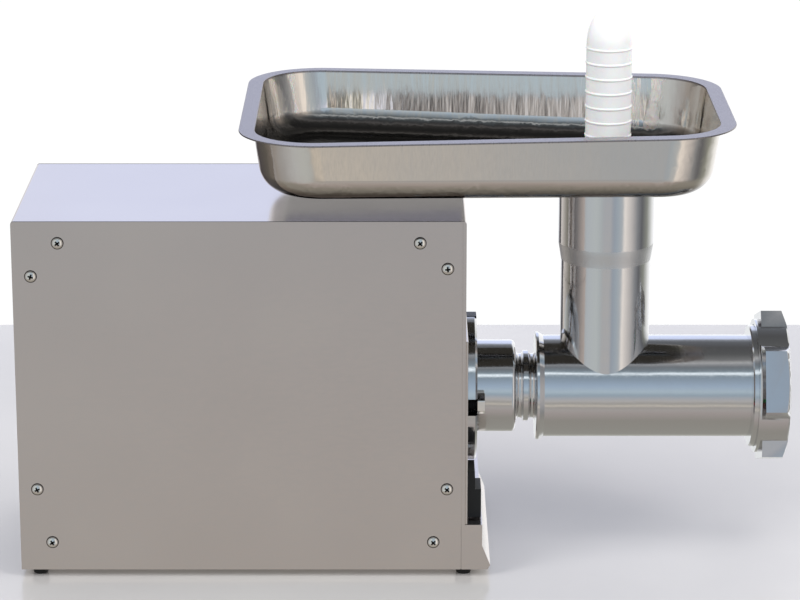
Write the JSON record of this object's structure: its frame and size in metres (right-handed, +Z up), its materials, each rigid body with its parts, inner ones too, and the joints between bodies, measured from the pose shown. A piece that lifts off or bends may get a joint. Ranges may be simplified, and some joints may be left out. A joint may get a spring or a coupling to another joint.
{
  "type": "electric meat grinder",
  "caption": "Bench meat grinder: stainless casing with geared motor, clamped feed head with worm, knife, plate and ring nut, tray above and a ringed white pusher.",
  "frame": {"origin": "middle of the machine's bounding box, on the plane that the feet stand on", "axes": "+X from the back of the casing to the ring nut, +Z up"},
  "size_m": [0.6244, 0.2854, 0.438],
  "materials": {
    "stainless_sheet": "satin",
    "polished_stainless": "polished",
    "tinned_casting": "polished",
    "machined_steel": "machined",
    "zinc_screw": "bright",
    "blackened_steel": "satin",
    "black_rubber": "matt",
    "black_plastic": "moulded",
    "white_plastic": "moulded",
    "green_plastic": "gloss",
    "red_plastic": "gloss",
    "cast_aluminium": "cast",
    "bronze": "machined",
    "gear_steel": "hobbed",
    "lamination_steel": "varnished",
    "copper_winding": "varnished",
    "ivory_plastic": "moulded"
  },
  "bodies": {
    "machine": {"side_panel_left": "stainless_sheet", "side_panel_right": "stainless_sheet", "wrap_cover": "stainless_sheet", "base_pan": "stainless_sheet", "front_plate": "stainless_sheet", "hub": "tinned_casting", "output_bearing_front": "machined_steel", "output_bearing_rear": "machined_steel", "intermediate_bearing_front": "machined_steel", "intermediate_bearing_rear": "machined_steel", "motor_bearing_front": "machined_steel", "motor_bearing_rear": "machined_steel", "capacitor_clip": "machined_steel", "side_screws": "zinc_screw", "foot_screws": "zinc_screw", "foot_nuts": "zinc_screw", "hub_nuts": "zinc_screw", "gearbox_screws": "zinc_screw", "motor_tie_bolts": "zinc_screw", "hub_studs": "blackened_steel", "rim_clamps": "blackened_steel", "feet": "black_rubber", "oil_seal": "black_rubber", "switch_housing": "black_plastic", "cable_gland": "black_plastic", "gland_nut": "black_plastic", "gearbox_housing": "cast_aluminium", "gearbox_cover": "cast_aluminium", "motor_bell_front": "cast_aluminium", "motor_bell_rear": "cast_aluminium", "run_capacitor": "cast_aluminium", "stator_stack": "lamination_steel", "stator_windings": "copper_winding", "terminal_block": "ivory_plastic"},
    "lock": {"lock_screw": "machined_steel", "lock_knob": "black_plastic"},
    "output": {"output_gear": "gear_steel", "output_shaft": "machined_steel"},
    "intermediate": {"intermediate_pinion": "gear_steel", "intermediate_gear": "gear_steel", "intermediate_shaft": "machined_steel"},
    "rotor": {"motor_pinion": "gear_steel", "motor_shaft": "machined_steel", "rotor_core": "lamination_steel", "cooling_fan": "black_plastic"},
    "stop": {"stop_button": "red_plastic"},
    "start": {"start_button": "green_plastic"},
    "head": {"head_body": "tinned_casting", "head_bush": "bronze", "plate_key": "machined_steel"},
    "feed": {"worm": "tinned_casting", "thrust_washer": "bronze", "knife": "machined_steel"},
    "plate": {"grinding_plate": "machined_steel"},
    "nut": {"ring_nut": "tinned_casting"},
    "tray": {"tray": "polished_stainless"},
    "pusher": {"pusher": "white_plastic"}
  },
  "joints": [
    {"name": "head_slide", "type": "slide", "parent": "machine", "child": "head", "axis": [1, 0, 0], "range_m": [0, 0.06]},
    {"name": "lock_turn", "type": "hinge", "parent": "machine", "child": "lock", "pos_m": [0.08775, 0, 0.1285], "axis": [0, 0.9659, -0.2588], "range_deg": [0, 720]},
    {"name": "rotor_spin", "type": "hinge", "parent": "machine", "child": "rotor", "pos_m": [0.05375, 0, 0.2065], "axis": [1, 0, 0], "continuous": true},
    {"name": "intermediate_spin", "type": "hinge", "parent": "machine", "child": "intermediate", "pos_m": [0.05375, -0.04, 0.1877], "axis": [1, 0, 0], "continuous": true},
    {"name": "output_spin", "type": "hinge", "parent": "machine", "child": "output", "pos_m": [0.05375, 0, 0.1285], "axis": [1, 0, 0], "continuous": true},
    {"name": "worm_spin", "type": "hinge", "parent": "head", "child": "feed", "pos_m": [0.05375, 0, 0.1285], "axis": [1, 0, 0], "continuous": true},
    {"name": "plate_slide", "type": "slide", "parent": "head", "child": "plate", "axis": [1, 0, 0], "range_m": [0, 0.0121]},
    {"name": "nut_turn", "type": "hinge", "parent": "plate", "child": "nut", "pos_m": [0.05375, 0, 0.1285], "axis": [1, 0, 0], "range_deg": [0, 1080]},
    {"name": "tray_lift", "type": "slide", "parent": "head", "child": "tray", "axis": [0, 0, 1], "range_m": [0, 0.12]},
    {"name": "pusher_slide", "type": "slide", "parent": "head", "child": "pusher", "axis": [0, 0, 1], "range_m": [0, 0.25]},
    {"name": "stop_press", "type": "slide", "parent": "machine", "child": "stop", "axis": [-1, 0, 0], "range_m": [0, 0.003], "stiffness_N_per_m": 400, "springref_m": -0.001},
    {"name": "start_press", "type": "slide", "parent": "machine", "child": "start", "axis": [-1, 0, 0], "range_m": [0, 0.003], "stiffness_N_per_m": 400, "springref_m": -0.001}
  ],
  "couplings": [
    {"joint": "intermediate_spin", "follows": "rotor_spin", "ratio": -0.375},
    {"joint": "output_spin", "follows": "rotor_spin", "ratio": 0.13393},
    {"joint": "worm_spin", "follows": "rotor_spin", "ratio": 0.13393},
    {"joint": "plate_slide", "follows": "nut_turn", "m_per_rad": 0.00063662}
  ]
}
